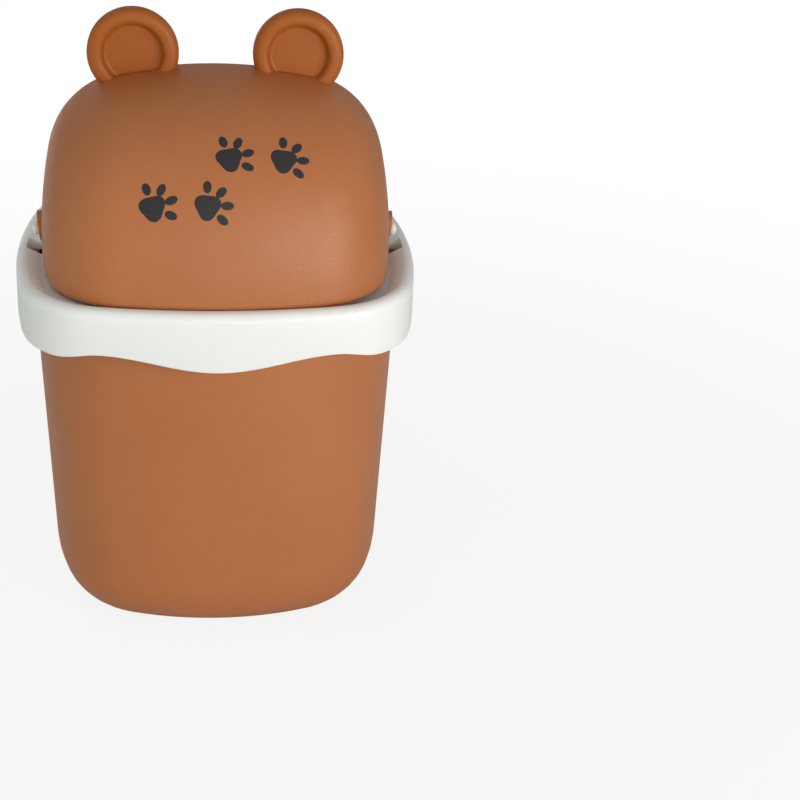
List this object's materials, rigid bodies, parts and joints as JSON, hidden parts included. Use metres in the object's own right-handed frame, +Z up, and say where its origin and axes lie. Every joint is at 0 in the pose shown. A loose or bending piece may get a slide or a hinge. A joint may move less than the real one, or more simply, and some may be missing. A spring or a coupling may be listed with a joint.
{
  "type": "desktop trash can",
  "caption": "Small free-standing plastic bin: tapered bucket, lift-off collar with a fixed rear half dome, and a front half-dome lid with round ears that swings back on side pins.",
  "frame": {"origin": "centre of the footprint, on the surface that the bin stands on", "axes": "+Z up, -Y towards the front where the lid opens, +X to the right seen from the front"},
  "size_m": [0.146, 0.141, 0.2252],
  "materials": {
    "brown_plastic": "fine spark-eroded matte",
    "cream_plastic": "smooth satin",
    "white_plastic": "smooth satin",
    "dark_ink": "pad-printed ink"
  },
  "bodies": {
    "bucket": {"bucket": "brown_plastic"},
    "collar": {"collar": "cream_plastic", "pivot_pin_left": "white_plastic", "pivot_pin_right": "white_plastic"},
    "lid": {"lid": "brown_plastic", "ear_left": "brown_plastic", "ear_right": "brown_plastic"}
  },
  "joints": [
    {"name": "collar_lift", "type": "slide", "parent": "bucket", "child": "collar", "axis": [0, 0, 1], "range_m": [0, 0.012]},
    {"name": "lid_swing", "type": "hinge", "parent": "collar", "child": "lid", "pos_m": [0, 0, 0.1422], "axis": [-1, 0, 0], "range_deg": [0, 93]}
  ]
}
